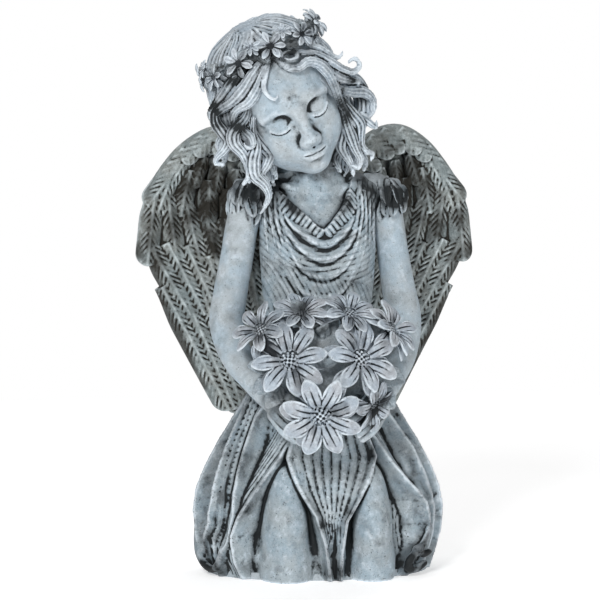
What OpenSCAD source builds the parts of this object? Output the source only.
// Kneeling angel garden figurine, cast in cold-cast resin sections that are pinned and bonded.
// Row frame: +Z up, the figure faces -Y, the origin is the centre of the underside. Millimetres.

/* [Skirt] */
// Width of the skirt at the hem
skirt_w = 141; // [110:1:170]
// Depth of the skirt at the hem, without the knees
skirt_d = 98; // [80:1:120]
// Height of the skirt casting, up to the waist seam
skirt_h = 118; // [98:1:142]
// Wall of the hollow skirt casting
skirt_wall = 6; // [5:0.5:8]
// How far the folds stand out at the hem
fold_depth = 3.5; // [1:0.5:5]
// Number of folds round the hem
fold_count = 11; // [7:1:15]
// How far each knee stands out in front
knee_out = 9; // [4:0.5:12]

/* [Base] */
// Thickness of the plate that closes the underside
plate_t = 4; // [3:0.5:6]
// Width of the ledge that the plate is bonded to
ledge_w = 2.5; // [1.5:0.5:3.5]
// Diameter of the fill hole in the plate
fill_d = 24; // [18:1:32]
// Thickness of the plug's flange, let into the plate
flange_t = 1.5; // [1:0.5:2]

/* [Torso] */
// Width of the bodice at the waist seam
waist_w = 62; // [52:1:74]
// Depth of the bodice at the waist seam
waist_d = 42; // [36:1:50]
// Height from the waist seam to the top of the shoulders
torso_h = 108; // [90:1:128]
// Width of the chest
chest_w = 67; // [58:1:76]
// Distance between the two arm seats
shoulder_w = 70; // [62:1:82]
// Diameter of the neck
neck_d = 27; // [24:1:30]
// Height of the neck above the shoulders, inside the head included
neck_h = 21; // [18:1:25]

/* [Arms] */
// Diameter of the upper arm
arm_d = 22; // [18:0.5:25]
// Diameter of the wrist
wrist_d = 14; // [12:0.5:17]
// How far the elbow stands out past the arm seat
elbow_out = 16; // [12:0.5:20]

/* [Head] */
// Height of the head with its hair, along its own axis
head_h = 86; // [76:1:96]
// Width of the face
face_w = 53; // [46:1:58]
// Width of the hair round the head
hair_w = 76; // [70:1:86]
// Lean of the head towards the right shoulder
head_roll = 26; // [0:1:30]
// Nod of the head
head_nod = 14; // [0:1:18]
// Diameter of the side locks
lock_d = 13; // [10:0.5:15]

/* [Wreath] */
// Thickness of the wreath's band
band_d = 6; // [4:0.5:7]
// Diameter of a wreath flower
wreath_flower_d = 17; // [13:0.5:19]
// Number of flowers on the wreath
wreath_count = 11; // [7:1:12]

/* [Bouquet] */
// Width of the foliage core
core_w = 58; // [54:1:72]
// Height of the foliage core
core_h = 50; // [42:1:58]
// Depth of the foliage core
core_d = 26; // [22:1:30]
// Diameter of the largest daisy
daisy_d = 41; // [34:1:46]
// Number of petals on a daisy
petal_count = 8; // [6:1:10]
// Diameter of a daisy's stem
stem_d = 4; // [3:0.5:5]

/* [Wings] */
// Span over both wings
wing_span = 188; // [160:1:220]
// Height of one wing, from its tip to the top of its arch
wing_h = 167; // [140:1:190]
// Thickness of a wing
wing_t = 6; // [5:0.5:8]
// Height of the wings' arch above the top of the shoulders
wing_rise = 24; // [16:1:32]
// Diameter of the tenon that carries a wing
tenon_d = 14; // [10:0.5:16]
// Length of the tenon inside the torso
tenon_l = 9; // [6:0.5:11]

/* [Hardware] */
// Diameter of the steel dowels
dowel_d = 5; // [4:0.5:6]
// Length of the steel dowels
dowel_l = 20; // [16:1:24]
// Gap for the glue round a dowel, stem or tenon
glue_gap = 0.15; // [0.1:0.05:0.3]
// Gap between castings that lie against each other
seam_gap = 0.3; // [0.2:0.05:0.4]

/* [Hidden] */
$fn = 48;

// Heights of the seams
roof_t = dowel_l / 2 + 4;             // solid top of the skirt, for the waist dowels
torso_top = skirt_h + torso_h;
shoulder_z = torso_top - arm_d / 2 + 1;
seat_x = max(shoulder_w, chest_w + 2) / 2;  // flat faces that the arms are bonded to
neck_y = 3;
neck_sink = 8;                        // part of the neck inside the shoulders
skirt_y = -2;                         // the hem sits a little in front of the waist

// Wings
half_span = wing_span / 2;
wing_tip_z = torso_top + wing_rise - wing_h;
root_y = waist_d / 2;                 // front face of a wing at its root
wing_sweep = 26;                      // how far a wing curves back
root_x = 14;                          // inner edge of a wing at its root
tenon_x = root_x + tenon_d / 2 + 1;
tenon_z = torso_top - 20;
widest_v = 0.575;                     // share of the wing's height where it is widest

// Head, in its own frame: origin at its centre, +Z to the crown, the face towards -Y
head_at = [-22, -5, torso_top + 45];
chin_share = 0.43;                    // share of the head's height below its centre
band_z = head_h * 0.38;

// Bouquet
core_at = [-4, -(skirt_front(skirt_h - 20) + seam_gap + core_d / 2), skirt_h + 5];
petal_t = 2;
cup = 4;                              // how far a petal's tip stands in front of its foot
stem_bite = 4;                        // how deep a stem sits in the core
daisy_drawn = 41;                     // the daisy_d that their places are drawn for
// Name, place from the core's centre, azimuth and elevation of its face, share of daisy_d
DAISIES = [
    ["front_daisy", [-6, -28, -24], -4, -16, 1],
    ["left_daisy", [-20, -18, 3], -14, 22, 0.88],
    ["right_daisy", [17, -18, 3], 14, 22, 0.88],
    ["upper_left_daisy", [-36, -4, 23], -55, 30, 0.74],
    ["upper_right_daisy", [38, -4, 22], 55, 30, 0.76],
    ["back_left_daisy", [-12, -3, 30], -14, 62, 0.66],
    ["back_right_daisy", [14, -3, 30], 14, 62, 0.66],
    ["low_daisy", [24, -13, -24], 38, -28, 0.62]];
// Place of its foot from the core's centre, azimuth of the leaf's face, turn in its plane, length
LEAVES = [
    [[-33, -6, 2], -40, 75, 17],
    [[-30, -8, -10], -30, 115, 19],
    [[34, -4, 2], 40, -80, 18],
    [[32, -6, -10], 30, -118, 15]];

function lerp(a, b, t) = a + (b - a) * t;
function clamp01(t) = min(1, max(0, t));
function smooth(t) = let (c = clamp01(t)) c * c * (3 - 2 * c);
function bell(t) = exp(-t * t);
function mean(points) = [for (k = [0:2]) sum([for (p = points) p[k]]) / len(points)];
function sum(values) = len(values) == 0 ? 0 : [for (v = values) 1] * values;

// Radius of an oval with half axes a and b, towards angle t
function oval(t, a, b) = 1 / sqrt(pow(cos(t) / a, 2) + pow(sin(t) / b, 2));

// A level ring of n points, whose radius towards each angle comes from the function r
function level_ring(n, y, z, r) = [for (i = [0:n - 1]) let (t = i * 360 / n)
    [r(t) * cos(t), y + r(t) * sin(t), z]];

// Closed solid through rings that each have as many points, anticlockwise seen from the last one
module loft(rings) {
    n = len(rings[0]);
    last = (len(rings) - 1) * n;
    points = concat([for (ring = rings) each ring],
        [mean(rings[0]), mean(rings[len(rings) - 1])]);
    sides = [for (i = [0:n:last - n], j = [0:n - 1]) let (a = i + j, b = i + (j + 1) % n)
        each [[a, a + n, b], [b, a + n, b + n]]];
    ends = [for (j = [0:n - 1]) let (k = (j + 1) % n)
        each [[last + n, j, k], [last + n + 1, last + k, last + j]]];
    polyhedron(points, concat(sides, ends));
}

// Direction of a path at point i
function along(path, i) = let (
    d = path[min(i + 1, len(path) - 1)] - path[max(i - 1, 0)]) d / norm(d);

// Round bar along a path, with its own radius at each point; start says which way its first end faces
module bar(path, radii, start, n = 14) {
    rings = [for (i = [0:len(path) - 1]) let (
            t = i == 0 ? start : along(path, i),
            side = cross(t, [0.1, 1, 0.2]), u = side / norm(side), v = cross(t, u))
        [for (j = [0:n - 1]) let (a = j * 360 / n)
            path[i] + radii[i] * (cos(a) * u + sin(a) * v)]];
    loft(rings);
}

// Points on a smooth curve through the chosen ones, steps to each stretch
function spline(p, steps) = [for (i = [0:len(p) - 2], s = [0:steps - 1]) let (
        a = p[max(i - 1, 0)], b = p[i], c = p[i + 1], d = p[min(i + 2, len(p) - 1)], t = s / steps)
    0.5 * (2 * b + (c - a) * t + (2 * a - 5 * b + 4 * c - d) * t * t
        + (3 * b - a - 3 * c + d) * t * t * t)];
function spline_all(p, steps) = concat(spline(p, steps), [p[len(p) - 1]]);

// ---- Skirt ----
function flare(z) = pow(cos(90 * clamp01(z / skirt_h)), 0.9);
function skirt_hw(z) = lerp(waist_w, skirt_w, flare(z)) / 2;
function skirt_hd(z) = lerp(waist_d, skirt_d, flare(z)) / 2;
function skirt_front(z) = skirt_hd(z) - skirt_y * flare(z);
knee_turn = 28;
function knees(t, z) = knee_out * smooth(1 - z / (0.8 * skirt_h))
    * (bell((t - 270 + knee_turn) / 15) + bell((t - 270 - knee_turn) / 15));
function skirt_r(t, z) = oval(t, skirt_hw(z), skirt_hd(z))
    + fold_depth * flare(z) * sin(fold_count * t) + knees(t, z);
function cavity_r(t, z, more = 0) = let (wall = skirt_wall + fold_depth - more)
    oval(t, skirt_hw(z) - wall, skirt_hd(z) - wall);
skirt_n = 6 * fold_count;

module dowel_at(p, axis = [0, 0, 0], gap = 0, length = dowel_l) {
    translate(p) rotate(axis) cylinder(d = dowel_d + 2 * gap, h = length + 2 * gap, center = true);
}

module at_waist_dowels() {
    for (x = [-1, 1]) translate([x * waist_w / 4, 0, skirt_h]) children();
}

module skirt_shell() {
    steps = 10;
    ceiling = skirt_h - roof_t;
    inner = [for (i = [0:4]) let (z = lerp(ceiling, plate_t, i / 4))
        level_ring(skirt_n, skirt_y * flare(z), z, function(t) cavity_r(t, z))];
    pocket = [for (z = [plate_t, 0])
        level_ring(skirt_n, skirt_y, z, function(t) cavity_r(t, 0, ledge_w))];
    outer = [for (i = [0:steps]) let (z = skirt_h * i / steps)
        level_ring(skirt_n, skirt_y * flare(z), z, function(t) skirt_r(t, z))];
    color("slategray") difference() {
        loft(concat(inner, pocket, outer));
        at_waist_dowels() dowel_at([0, 0, 0], gap = glue_gap);
    }
}

// ---- Base ----
module base_plate() {
    outline = [for (p = level_ring(skirt_n, skirt_y, 0,
        function(t) cavity_r(t, 0, ledge_w) - glue_gap)) [p.x, p.y]];
    color("dimgray") difference() {
        linear_extrude(plate_t - glue_gap) polygon(outline);
        translate([0, 0, -1]) cylinder(d = fill_d, h = plate_t + 2);
        translate([0, 0, -1]) cylinder(d = flange_d() + 2 * seam_gap, h = flange_t + 1 + glue_gap);
    }
}

function flange_d() = fill_d + 7;

module fill_plug() {
    r = fill_d / 2 - glue_gap;
    color("black") rotate_extrude() polygon([[0, 0], [flange_d() / 2, 0], [flange_d() / 2, flange_t],
        [r, flange_t], [r, plate_t + 2], [r - 2, plate_t + 6], [r - 4, plate_t + 6],
        [r - 4, flange_t], [0, flange_t]]);
}

// ---- Torso ----
// Share of the height, half width, half depth and middle of each section
function torso_sections() = [
    [0, waist_w / 2, waist_d / 2, 0],
    [0.1, waist_w / 2 - 2, waist_d / 2 - 1.5, 0],
    [0.28, chest_w / 2 - 3, waist_d / 2 - 0.5, -0.5],
    [0.45, chest_w / 2 - 0.5, waist_d / 2 + 0.5, -1],
    [0.62, chest_w / 2, waist_d / 2 + 0.5, -0.5],
    [0.78, chest_w / 2 - 1, waist_d / 2 - 2, 0],
    [0.9, shoulder_w / 2 - 3, waist_d / 2 - 5, 1],
    [0.97, shoulder_w / 2 - 11, waist_d / 2 - 8, 2],
    [1, neck_d / 2 + 2, neck_d / 2 + 1, neck_y]];

module torso_form() {
    loft([for (s = torso_sections()) level_ring(36, s[3], skirt_h + s[0] * torso_h,
        function(t) oval(t, s[1], s[2]))]);
    translate([0, 2, shoulder_z]) rotate([0, 90, 0])
        cylinder(d = arm_d - 2, h = 2 * seat_x, center = true);
}

module neck_peg(gap = 0) {
    translate([0, neck_y, torso_top - neck_sink])
        cylinder(d = neck_d + 2 * gap, h = neck_sink + neck_h + gap);
}

module torso() {
    color("lightslategray") difference() {
        union() {
            torso_form();
            neck_peg();
        }
        at_waist_dowels() dowel_at([0, 0, 0], gap = glue_gap);
        for (x = [-1, 1]) {
            dowel_at([x * seat_x, 2, shoulder_z], [0, 90, 0], glue_gap);
            wing_tenon(x, glue_gap);
        }
        bouquet_pin(glue_gap);
    }
}

// ---- Arms ----
elbow_z = shoulder_z - 82;
function arm_path() = let (x = seat_x + glue_gap, e = seat_x + elbow_out) [
    [x, 2, shoulder_z], [x + 6, 2, shoulder_z - 2], [e - 4, 2, shoulder_z - 14],
    [e - 2, 2, shoulder_z - 34], [e, 1, elbow_z + 18], [e, -4, elbow_z],
    [e - 9, -22, elbow_z - 16], [e - 20, core_at.y + 6, elbow_z - 30], hand_at()];
function arm_radii() = [arm_d / 2 - 1, arm_d / 2, arm_d / 2, arm_d / 2 - 0.5, arm_d / 2 - 0.5,
    arm_d / 2, arm_d / 2 - 2, wrist_d / 2, wrist_d / 2 - 2];
function hand_at() = [16, core_at.y - 3, core_at.z - core_h / 2 - wrist_d / 2 - 1];

// Side is 1 for the figure's left arm and -1 for its right one
module arm(side) {
    steps = 3;
    path = spline_all(arm_path(), steps);
    radii = [for (i = [0:len(path) - 1]) let (k = floor(i / steps), r = arm_radii())
        lerp(r[k], r[min(k + 1, len(r) - 1)], i / steps - k)];
    color("silver") difference() {
        mirror([side < 0 ? 1 : 0, 0, 0]) difference() {
            bar(path, radii, [1, 0, 0]);
            translate([0, -arm_d, shoulder_z - arm_d]) cube([seat_x + glue_gap, 2 * arm_d, 2 * arm_d]);
        }
        dowel_at([side * seat_x, 2, shoulder_z], [0, 90, 0], glue_gap);
    }
}

module right_arm() { arm(-1); }
module left_arm() { arm(1); }

// ---- Head ----
module in_head_frame() {
    translate(head_at) rotate([0, -head_roll, 0]) rotate([head_nod, 0, 0]) children();
}

// Half height and half width at elevation e, seen from the head's centre
function head_z(e) = head_h * (e < 0 ? chin_share : 1 - chin_share) * sin(e);
function hair_r(e) = hair_w / 2 * pow(cos(e), e < 0 ? 0.75 : 0.9);
// The face lies inside the hair's round outline, in front and below the wreath
function below_wreath(e) = smooth(0.5 - e / 30);
function face_cut(t, e) = (hair_w - face_w) / 4 * bell((t - 270) / 42) * below_wreath(e);
function curls(t, e) = 1.5 * sin(9 * t) * below_wreath(e) * (1 - bell((t - 270) / 60));

module head_form(grow = 0) {
    loft([for (e = [-84:14:84]) level_ring(36, 0, head_z(e) + grow * sin(e),
        function(t) hair_r(e) - face_cut(t, e) + curls(t, e) * cos(e) + grow * cos(e))]);
}

// Hair that falls behind the neck
module nape() {
    bar([[-13, 8, torso_top + 38], [-7, 12, torso_top + 26], [-3, 14, torso_top + 18],
        [-1, 16, torso_top + 13]], [27, 20, 14, 9], [0.35, 0.25, -1], 20);
}

module head() {
    color("silver") difference() {
        union() {
            in_head_frame() head_form();
            nape();
        }
        neck_peg(glue_gap);
        band_form(seam_gap);
    }
}

// Outer and inner curl of a side, from the temple to the shoulder
RIGHT_CURLS = [
    [[-53, -8, 43], [-56, -13, 32], [-53, -17, 20], [-48, -19, 10], [-43, -19, 2]],
    [[-43, -21, 28], [-41, -25, 18], [-37, -27, 8], [-32, -27, -3], [-30, -26, -14]]];
LEFT_CURLS = [
    [[8, -23, 56], [17, -18, 49], [23, -14, 39], [21, -13, 27], [21, -14, 16], [25, -15, 6]],
    [[20, -4, 55], [27, -4, 43], [29, -3, 30], [26, -4, 17], [28, -6, 6]]];

module locks(curls) {
    color("slategray") difference() {
        union() for (c = curls) {
            path = spline_all([for (p = c) p + [0, 0, torso_top]], 2);
            last = len(path) - 1;
            bar(path, [for (i = [0:last]) lock_d / 2 * (1 - 0.5 * pow(i / last, 2))],
                along(path, 0), 12);
        }
        in_head_frame() head_form(seam_gap);
    }
}

module right_locks() { locks(RIGHT_CURLS); }
module left_locks() { locks(LEFT_CURLS); }

// ---- Wreath ----
wreath_tilt = 20;   // its front stands up by this much
bloom_lift = 15;    // its flowers look up by this much

// Outside radius of the hair at a height over the head's centre
function hair_at(z) = hair_r(asin(min(1, z / (head_h * (1 - chin_share)))));
// Distance from the middle of the wreath's plane to the hair, towards the front (way = -1) or back (way = 1)
function hair_reach(way, low = 0, high = 80, turns = 16) =
    let (mid = (low + high) / 2)
    turns == 0 ? mid
    : mid * cos(wreath_tilt) < hair_at(band_z - way * mid * sin(wreath_tilt))
        ? hair_reach(way, mid, high, turns - 1) : hair_reach(way, low, mid, turns - 1);
band_r = (hair_reach(-1) + hair_reach(1)) / 2 + band_d / 2;
band_back = (hair_reach(1) - hair_reach(-1)) / 2;

module in_wreath_frame() {
    in_head_frame() translate([0, 0, band_z]) rotate([-wreath_tilt, 0, 0]) translate([0, band_back, 0]) children();
}

module band_form(grow = 0) {
    in_wreath_frame() rotate_extrude() translate([band_r, 0]) circle(d = band_d + 2 * grow);
}

module wreath_band() {
    color("gray") band_form();
}

module wreath_flowers() {
    color("gainsboro") in_wreath_frame() for (i = [0:wreath_count - 1])
        rotate(i * 360 / wreath_count - 90) translate([band_r + band_d / 2 + seam_gap / 2, 0, 0])
            rotate([0, 90 - bloom_lift, 0]) corolla(wreath_flower_d / 2, 6, 1.5, 2);
}

// ---- Flowers ----
// Petals as one cupped plate: its foot at the origin, its face towards +Z
module corolla(r, petals, t, rise) {
    n = petals * 6;
    outline = function(a) r * (0.66 + 0.34 * sqrt(abs(cos(petals * a / 2))));
    rings = [for (k = [1, 0.6, 0.25]) [for (i = [0:n - 1]) let (a = i * 360 / n)
        [k * outline(a) * cos(a), k * outline(a) * sin(a), rise * k * k]]];
    under = [rings[2], rings[1], rings[0]];
    over = [for (ring = rings) [for (p = ring) p + [0, 0, t]]];
    loft(concat(under, over));
    translate([0, 0, t / 2]) cylinder(r = r * 0.22, h = t + rise * 0.4);
}

// Turns +Z to azimuth az and elevation el, where azimuth 0 is -Y
module facing(p, az, el) {
    translate(core_at + p) rotate([0, 0, az]) rotate([90 - el, 0, 0]) children();
}

// A stem from a place outside the core straight to its heart, ending a little under its surface
function core_share(p) = norm([2 * p.x / core_w, 2 * p.y / core_d, 2 * p.z / core_h]);
module stem(p, gap = 0) {
    reach = norm(p) * (1 - 1 / core_share(p)) + stem_bite;
    translate(core_at + p) rotate([0, acos(-p.z / norm(p)), atan2(-p.y, -p.x)])
        cylinder(d = stem_d + 2 * gap, h = reach + gap);
}

// The places spread with the daisies, so that larger ones don't meet
function daisy_place(d) = d[1] * daisy_d / daisy_drawn;

module daisy(d) {
    color("gainsboro") {
        facing(daisy_place(d), d[2], d[3]) corolla(d[4] * daisy_d / 2, petal_count, petal_t, cup);
        stem(daisy_place(d));
    }
}

module named_daisy(name) {
    for (d = DAISIES) if (d[0] == name) daisy(d);
}

module front_daisy() { named_daisy("front_daisy"); }
module left_daisy() { named_daisy("left_daisy"); }
module right_daisy() { named_daisy("right_daisy"); }
module upper_left_daisy() { named_daisy("upper_left_daisy"); }
module upper_right_daisy() { named_daisy("upper_right_daisy"); }
module back_left_daisy() { named_daisy("back_left_daisy"); }
module back_right_daisy() { named_daisy("back_right_daisy"); }
module low_daisy() { named_daisy("low_daisy"); }

module bouquet_core() {
    steps = 10;
    color("darkseagreen") difference() {
        translate(core_at) loft([for (i = [0:steps]) let (e = lerp(-84, 84, i / steps))
            level_ring(24, 0, core_h / 2 * sin(e),
                function(t) oval(t, core_w / 2, core_d / 2) * cos(e))]);
        for (d = DAISIES) stem(daisy_place(d), glue_gap);
        for (l = LEAVES) stem(l[0], glue_gap);
        bouquet_pin(glue_gap);
    }
}

module bouquet_pin(gap = 0) {
    back = -waist_d / 2 + dowel_l / 2;
    dowel_at([core_at.x, (core_at.y + back) / 2, core_at.z + 6], [90, 0, 0], gap, back - core_at.y);
}

module bouquet_dowel() {
    color("lightgray") bouquet_pin();
}

module leaf(length) {
    w = length * 0.55;
    r = (length * length / 4 + w * w / 4) / w;
    translate([0, length / 2, 0]) linear_extrude(petal_t) intersection() {
        translate([r - w / 2, 0]) circle(r);
        translate([w / 2 - r, 0]) circle(r);
    }
}

module bouquet_leaves() {
    color("darkseagreen") for (l = LEAVES) {
        facing(l[0], l[1], 0) rotate(l[2]) translate([0, -stem_d / 2, 0]) leaf(l[3]);
        stem(l[0]);
    }
}

// ---- Wings ----
function wing_out(v) = half_span * (v < widest_v
    ? lerp(0.49, 1, pow(v / widest_v, 0.8))
    : lerp(0.52, 1, sqrt(1 - pow((v - widest_v) / (1.001 - widest_v), 2))));
function wing_in(v) = v < 0.45 ? lerp(half_span * 0.43, root_x, smooth(v / 0.45))
    : lerp(root_x, half_span * 0.46, pow(clamp01((v - 0.8) / 0.2), 1.3));
function wing_y(x) = let (s = clamp01((x / half_span - 0.15) / 0.85))
    root_y + wing_sweep * sin(115 * pow(s, 0.9));
// The rolled leading edge is thicker than the feathers below it
function wing_thick(v) = wing_t * (1 + 0.9 * smooth((v - 0.82) / 0.12));

module wing_form() {
    steps = 18;
    cells = 8;
    loft([for (i = [0:steps]) let (v = i / steps, z = wing_tip_z + v * wing_h,
            xs = [for (k = [0:cells]) lerp(wing_in(v), wing_out(v), k / cells)])
        concat([for (x = xs) [x, wing_y(x) - wing_thick(v) + wing_t, z]],
            [for (k = [cells:-1:0]) [xs[k], wing_y(xs[k]) + wing_t, z]])]);
}

module wing_tenon(side, gap = 0) {
    translate([side * tenon_x, root_y + wing_sweep / 4, tenon_z]) rotate([90, 0, 0])
        cylinder(d = tenon_d + 2 * gap, h = tenon_l + wing_sweep / 4 + gap);
}

module wing(side) {
    color("darkslategray") {
        mirror([side < 0 ? 1 : 0, 0, 0]) wing_form();
        wing_tenon(side);
    }
}

module right_wing() { wing(-1); }
module left_wing() { wing(1); }

// ---- Dowels ----
module waist_dowels() {
    color("lightgray") at_waist_dowels() dowel_at([0, 0, 0]);
}

module arm_dowels() {
    color("lightgray") for (x = [-1, 1]) dowel_at([x * seat_x, 2, shoulder_z], [0, 90, 0]);
}

// Puts the origin midway between the front petals and the backs of the wings
front_y = let (d = DAISIES[0]) core_at.y + d[1].y - (cup + petal_t) * cos(d[3])
    + daisy_d / 2 * sin(d[3]);
back_y = root_y + wing_sweep + wing_t;
module centred() {
    translate([0, -(front_y + back_y) / 2, 0]) children();
}

centred() skirt_shell();
centred() base_plate();
centred() fill_plug();
centred() torso();
centred() right_arm();
centred() left_arm();
centred() head();
centred() right_locks();
centred() left_locks();
centred() wreath_band();
centred() wreath_flowers();
centred() bouquet_core();
centred() front_daisy();
centred() left_daisy();
centred() right_daisy();
centred() upper_left_daisy();
centred() upper_right_daisy();
centred() back_left_daisy();
centred() back_right_daisy();
centred() low_daisy();
centred() bouquet_leaves();
centred() right_wing();
centred() left_wing();
centred() waist_dowels();
centred() arm_dowels();
centred() bouquet_dowel();
